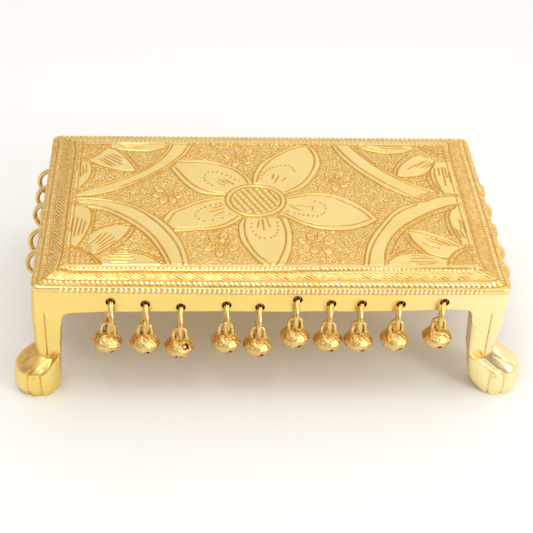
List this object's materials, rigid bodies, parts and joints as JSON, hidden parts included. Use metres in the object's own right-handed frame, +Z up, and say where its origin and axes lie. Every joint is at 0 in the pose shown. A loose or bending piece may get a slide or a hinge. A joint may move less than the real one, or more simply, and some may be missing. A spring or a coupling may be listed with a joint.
{
  "type": "low table",
  "caption": "Low brass table with a moulded chased top, paw feet and small bells hanging on rings from its aprons.",
  "frame": {"origin": "on the floor, under the middle of the top", "axes": "+X along the table's length, +Y towards its back, +Z up"},
  "size_m": [0.3318, 0.1976, 0.0897],
  "materials": {
    "chased_brass": "polished brass with a chased pattern and darker grooves",
    "polished_brass": "plain cast brass, filed and polished",
    "wire_brass": "drawn brass wire, slightly dull",
    "bell_brass": "cast brass with a punched surface"
  },
  "bodies": {
    "table": {"top_plate": "chased_brass", "apron_front": "polished_brass", "apron_back": "polished_brass", "apron_left": "polished_brass", "apron_right": "polished_brass", "leg_front_left": "polished_brass", "leg_front_right": "polished_brass", "leg_back_left": "polished_brass", "leg_back_right": "polished_brass"},
    "ring_front_1": {"ring_front_1": "wire_brass"},
    "bell_front_1": {"bell_front_1": "bell_brass"},
    "ring_front_2": {"ring_front_2": "wire_brass"},
    "bell_front_2": {"bell_front_2": "bell_brass"},
    "ring_front_3": {"ring_front_3": "wire_brass"},
    "bell_front_3": {"bell_front_3": "bell_brass"},
    "ring_front_4": {"ring_front_4": "wire_brass"},
    "bell_front_4": {"bell_front_4": "bell_brass"},
    "ring_front_5": {"ring_front_5": "wire_brass"},
    "bell_front_5": {"bell_front_5": "bell_brass"},
    "ring_front_6": {"ring_front_6": "wire_brass"},
    "bell_front_6": {"bell_front_6": "bell_brass"},
    "ring_front_7": {"ring_front_7": "wire_brass"},
    "bell_front_7": {"bell_front_7": "bell_brass"},
    "ring_front_8": {"ring_front_8": "wire_brass"},
    "bell_front_8": {"bell_front_8": "bell_brass"},
    "ring_front_9": {"ring_front_9": "wire_brass"},
    "bell_front_9": {"bell_front_9": "bell_brass"},
    "ring_front_10": {"ring_front_10": "wire_brass"},
    "bell_front_10": {"bell_front_10": "bell_brass"},
    "ring_and_bell_back_1": {"ring_and_bell_back_1": "bell_brass"},
    "ring_and_bell_back_2": {"ring_and_bell_back_2": "bell_brass"},
    "ring_and_bell_back_3": {"ring_and_bell_back_3": "bell_brass"},
    "ring_and_bell_back_4": {"ring_and_bell_back_4": "bell_brass"},
    "ring_and_bell_back_5": {"ring_and_bell_back_5": "bell_brass"},
    "ring_and_bell_back_6": {"ring_and_bell_back_6": "bell_brass"},
    "ring_and_bell_back_7": {"ring_and_bell_back_7": "bell_brass"},
    "ring_and_bell_back_8": {"ring_and_bell_back_8": "bell_brass"},
    "ring_and_bell_back_9": {"ring_and_bell_back_9": "bell_brass"},
    "ring_and_bell_back_10": {"ring_and_bell_back_10": "bell_brass"},
    "ring_left_1": {"ring_left_1": "wire_brass"},
    "bell_left_1": {"bell_left_1": "bell_brass"},
    "ring_left_2": {"ring_left_2": "wire_brass"},
    "bell_left_2": {"bell_left_2": "bell_brass"},
    "ring_left_3": {"ring_left_3": "wire_brass"},
    "bell_left_3": {"bell_left_3": "bell_brass"},
    "ring_left_4": {"ring_left_4": "wire_brass"},
    "bell_left_4": {"bell_left_4": "bell_brass"},
    "ring_left_5": {"ring_left_5": "wire_brass"},
    "bell_left_5": {"bell_left_5": "bell_brass"},
    "ring_right_1": {"ring_right_1": "wire_brass"},
    "bell_right_1": {"bell_right_1": "bell_brass"},
    "ring_right_2": {"ring_right_2": "wire_brass"},
    "bell_right_2": {"bell_right_2": "bell_brass"},
    "ring_right_3": {"ring_right_3": "wire_brass"},
    "bell_right_3": {"bell_right_3": "bell_brass"},
    "ring_right_4": {"ring_right_4": "wire_brass"},
    "bell_right_4": {"bell_right_4": "bell_brass"},
    "ring_right_5": {"ring_right_5": "wire_brass"},
    "bell_right_5": {"bell_right_5": "bell_brass"}
  },
  "joints": [
    {"name": "ring_front_1_rock", "type": "hinge", "parent": "table", "child": "ring_front_1", "pos_m": [-0.1014, -0.087, 0.07217], "axis": [1, 0, 0], "range_deg": [-15, 15]},
    {"name": "bell_front_1_slide_round", "type": "hinge", "parent": "ring_front_1", "child": "bell_front_1", "pos_m": [-0.1014, -0.087, 0.06191], "axis": [1, 0, 0], "range_deg": [-90, 90]},
    {"name": "ring_front_2_rock", "type": "hinge", "parent": "table", "child": "ring_front_2", "pos_m": [-0.0798, -0.087, 0.07029], "axis": [1, 0, 0], "range_deg": [-15, 15]},
    {"name": "bell_front_2_slide_round", "type": "hinge", "parent": "ring_front_2", "child": "bell_front_2", "pos_m": [-0.0798, -0.087, 0.06046], "axis": [1, 0, 0], "range_deg": [-90, 90]},
    {"name": "ring_front_3_rock", "type": "hinge", "parent": "table", "child": "ring_front_3", "pos_m": [-0.0576, -0.087, 0.06793], "axis": [1, 0, 0], "range_deg": [-15, 15]},
    {"name": "bell_front_3_slide_round", "type": "hinge", "parent": "ring_front_3", "child": "bell_front_3", "pos_m": [-0.0576, -0.087, 0.0581], "axis": [1, 0, 0], "range_deg": [-90, 90]},
    {"name": "ring_front_4_rock", "type": "hinge", "parent": "table", "child": "ring_front_4", "pos_m": [-0.02895, -0.087, 0.06966], "axis": [1, 0, 0], "range_deg": [-15, 15]},
    {"name": "bell_front_4_slide_round", "type": "hinge", "parent": "ring_front_4", "child": "bell_front_4", "pos_m": [-0.02895, -0.087, 0.06096], "axis": [1, 0, 0], "range_deg": [-90, 90]},
    {"name": "ring_front_5_rock", "type": "hinge", "parent": "table", "child": "ring_front_5", "pos_m": [-0.00795, -0.087, 0.06793], "axis": [1, 0, 0], "range_deg": [-15, 15]},
    {"name": "bell_front_5_slide_round", "type": "hinge", "parent": "ring_front_5", "child": "bell_front_5", "pos_m": [-0.00795, -0.087, 0.0588], "axis": [1, 0, 0], "range_deg": [-90, 90]},
    {"name": "ring_front_6_rock", "type": "hinge", "parent": "table", "child": "ring_front_6", "pos_m": [0.0156, -0.087, 0.07406], "axis": [1, 0, 0], "range_deg": [-15, 15]},
    {"name": "bell_front_6_slide_round", "type": "hinge", "parent": "ring_front_6", "child": "bell_front_6", "pos_m": [0.0156, -0.087, 0.06588], "axis": [1, 0, 0], "range_deg": [-90, 90]},
    {"name": "ring_front_7_rock", "type": "hinge", "parent": "table", "child": "ring_front_7", "pos_m": [0.03705, -0.087, 0.07076], "axis": [1, 0, 0], "range_deg": [-15, 15]},
    {"name": "bell_front_7_slide_round", "type": "hinge", "parent": "ring_front_7", "child": "bell_front_7", "pos_m": [0.03705, -0.087, 0.06206], "axis": [1, 0, 0], "range_deg": [-90, 90]},
    {"name": "ring_front_8_rock", "type": "hinge", "parent": "table", "child": "ring_front_8", "pos_m": [0.0564, -0.087, 0.0706], "axis": [1, 0, 0], "range_deg": [-15, 15]},
    {"name": "bell_front_8_slide_round", "type": "hinge", "parent": "ring_front_8", "child": "bell_front_8", "pos_m": [0.0564, -0.087, 0.06208], "axis": [1, 0, 0], "range_deg": [-90, 90]},
    {"name": "ring_front_9_rock", "type": "hinge", "parent": "table", "child": "ring_front_9", "pos_m": [0.08115, -0.087, 0.07029], "axis": [1, 0, 0], "range_deg": [-15, 15]},
    {"name": "bell_front_9_slide_round", "type": "hinge", "parent": "ring_front_9", "child": "bell_front_9", "pos_m": [0.08115, -0.087, 0.06281], "axis": [1, 0, 0], "range_deg": [-90, 90]},
    {"name": "ring_front_10_rock", "type": "hinge", "parent": "table", "child": "ring_front_10", "pos_m": [0.10875, -0.087, 0.07186], "axis": [1, 0, 0], "range_deg": [-15, 15]},
    {"name": "bell_front_10_slide_round", "type": "hinge", "parent": "ring_front_10", "child": "bell_front_10", "pos_m": [0.10875, -0.087, 0.0642], "axis": [1, 0, 0], "range_deg": [-90, 90]},
    {"name": "ring_and_bell_back_1_rock", "type": "hinge", "parent": "table", "child": "ring_and_bell_back_1", "pos_m": [0.1014, 0.087, 0.07217], "axis": [-1, 0, 0], "range_deg": [-15, 15]},
    {"name": "ring_and_bell_back_2_rock", "type": "hinge", "parent": "table", "child": "ring_and_bell_back_2", "pos_m": [0.0798, 0.087, 0.07029], "axis": [-1, 0, 0], "range_deg": [-15, 15]},
    {"name": "ring_and_bell_back_3_rock", "type": "hinge", "parent": "table", "child": "ring_and_bell_back_3", "pos_m": [0.0576, 0.087, 0.06793], "axis": [-1, 0, 0], "range_deg": [-15, 15]},
    {"name": "ring_and_bell_back_4_rock", "type": "hinge", "parent": "table", "child": "ring_and_bell_back_4", "pos_m": [0.02895, 0.087, 0.06966], "axis": [-1, 0, 0], "range_deg": [-15, 15]},
    {"name": "ring_and_bell_back_5_rock", "type": "hinge", "parent": "table", "child": "ring_and_bell_back_5", "pos_m": [0.00795, 0.087, 0.06793], "axis": [-1, 0, 0], "range_deg": [-15, 15]},
    {"name": "ring_and_bell_back_6_rock", "type": "hinge", "parent": "table", "child": "ring_and_bell_back_6", "pos_m": [-0.0156, 0.087, 0.07406], "axis": [-1, 0, 0], "range_deg": [-15, 15]},
    {"name": "ring_and_bell_back_7_rock", "type": "hinge", "parent": "table", "child": "ring_and_bell_back_7", "pos_m": [-0.03705, 0.087, 0.07076], "axis": [-1, 0, 0], "range_deg": [-15, 15]},
    {"name": "ring_and_bell_back_8_rock", "type": "hinge", "parent": "table", "child": "ring_and_bell_back_8", "pos_m": [-0.0564, 0.087, 0.0706], "axis": [-1, 0, 0], "range_deg": [-15, 15]},
    {"name": "ring_and_bell_back_9_rock", "type": "hinge", "parent": "table", "child": "ring_and_bell_back_9", "pos_m": [-0.08115, 0.087, 0.07029], "axis": [-1, 0, 0], "range_deg": [-15, 15]},
    {"name": "ring_and_bell_back_10_rock", "type": "hinge", "parent": "table", "child": "ring_and_bell_back_10", "pos_m": [-0.10875, 0.087, 0.07186], "axis": [-1, 0, 0], "range_deg": [-15, 15]},
    {"name": "ring_left_1_rock", "type": "hinge", "parent": "table", "child": "ring_left_1", "pos_m": [-0.1485, 0.05903, 0.07343], "axis": [0, -1, 0], "range_deg": [-15, 15]},
    {"name": "bell_left_1_slide_round", "type": "hinge", "parent": "ring_left_1", "child": "bell_left_1", "pos_m": [-0.1485, 0.05903, 0.06386], "axis": [0, -1, 0], "range_deg": [-90, 90]},
    {"name": "ring_left_2_rock", "type": "hinge", "parent": "table", "child": "ring_left_2", "pos_m": [-0.1485, 0.04, 0.0728], "axis": [0, -1, 0], "range_deg": [-15, 15]},
    {"name": "bell_left_2_slide_round", "type": "hinge", "parent": "ring_left_2", "child": "bell_left_2", "pos_m": [-0.1485, 0.04, 0.06358], "axis": [0, -1, 0], "range_deg": [-90, 90]},
    {"name": "ring_left_3_rock", "type": "hinge", "parent": "table", "child": "ring_left_3", "pos_m": [-0.1485, 0.02098, 0.07123], "axis": [0, -1, 0], "range_deg": [-15, 15]},
    {"name": "bell_left_3_slide_round", "type": "hinge", "parent": "ring_left_3", "child": "bell_left_3", "pos_m": [-0.1485, 0.02098, 0.06149], "axis": [0, -1, 0], "range_deg": [-90, 90]},
    {"name": "ring_left_4_rock", "type": "hinge", "parent": "table", "child": "ring_left_4", "pos_m": [-0.1485, -0.00974, 0.07186], "axis": [0, -1, 0], "range_deg": [-15, 15]},
    {"name": "bell_left_4_slide_round", "type": "hinge", "parent": "ring_left_4", "child": "bell_left_4", "pos_m": [-0.1485, -0.00974, 0.06229], "axis": [0, -1, 0], "range_deg": [-90, 90]},
    {"name": "ring_left_5_rock", "type": "hinge", "parent": "table", "child": "ring_left_5", "pos_m": [-0.1485, -0.03248, 0.07123], "axis": [0, -1, 0], "range_deg": [-15, 15]},
    {"name": "bell_left_5_slide_round", "type": "hinge", "parent": "ring_left_5", "child": "bell_left_5", "pos_m": [-0.1485, -0.03248, 0.06201], "axis": [0, -1, 0], "range_deg": [-90, 90]},
    {"name": "ring_right_1_rock", "type": "hinge", "parent": "table", "child": "ring_right_1", "pos_m": [0.1485, -0.04451, 0.07123], "axis": [0, 1, 0], "range_deg": [-15, 15]},
    {"name": "bell_right_1_slide_round", "type": "hinge", "parent": "ring_right_1", "child": "bell_right_1", "pos_m": [0.1485, -0.04451, 0.06201], "axis": [0, 1, 0], "range_deg": [-90, 90]},
    {"name": "ring_right_2_rock", "type": "hinge", "parent": "table", "child": "ring_right_2", "pos_m": [0.1485, -0.0254, 0.07186], "axis": [0, 1, 0], "range_deg": [-15, 15]},
    {"name": "bell_right_2_slide_round", "type": "hinge", "parent": "ring_right_2", "child": "bell_right_2", "pos_m": [0.1485, -0.0254, 0.06211], "axis": [0, 1, 0], "range_deg": [-90, 90]},
    {"name": "ring_right_3_rock", "type": "hinge", "parent": "table", "child": "ring_right_3", "pos_m": [0.1485, 0.00221, 0.07092], "axis": [0, 1, 0], "range_deg": [-15, 15]},
    {"name": "bell_right_3_slide_round", "type": "hinge", "parent": "ring_right_3", "child": "bell_right_3", "pos_m": [0.1485, 0.00221, 0.06117], "axis": [0, 1, 0], "range_deg": [-90, 90]},
    {"name": "ring_right_4_rock", "type": "hinge", "parent": "table", "child": "ring_right_4", "pos_m": [0.1485, 0.02381, 0.07154], "axis": [0, 1, 0], "range_deg": [-15, 15]},
    {"name": "bell_right_4_slide_round", "type": "hinge", "parent": "ring_right_4", "child": "bell_right_4", "pos_m": [0.1485, 0.02381, 0.06197], "axis": [0, 1, 0], "range_deg": [-90, 90]},
    {"name": "ring_right_5_rock", "type": "hinge", "parent": "table", "child": "ring_right_5", "pos_m": [0.1485, 0.04938, 0.07123], "axis": [0, 1, 0], "range_deg": [-15, 15]},
    {"name": "bell_right_5_slide_round", "type": "hinge", "parent": "ring_right_5", "child": "bell_right_5", "pos_m": [0.1485, 0.04938, 0.06166], "axis": [0, 1, 0], "range_deg": [-90, 90]}
  ]
}
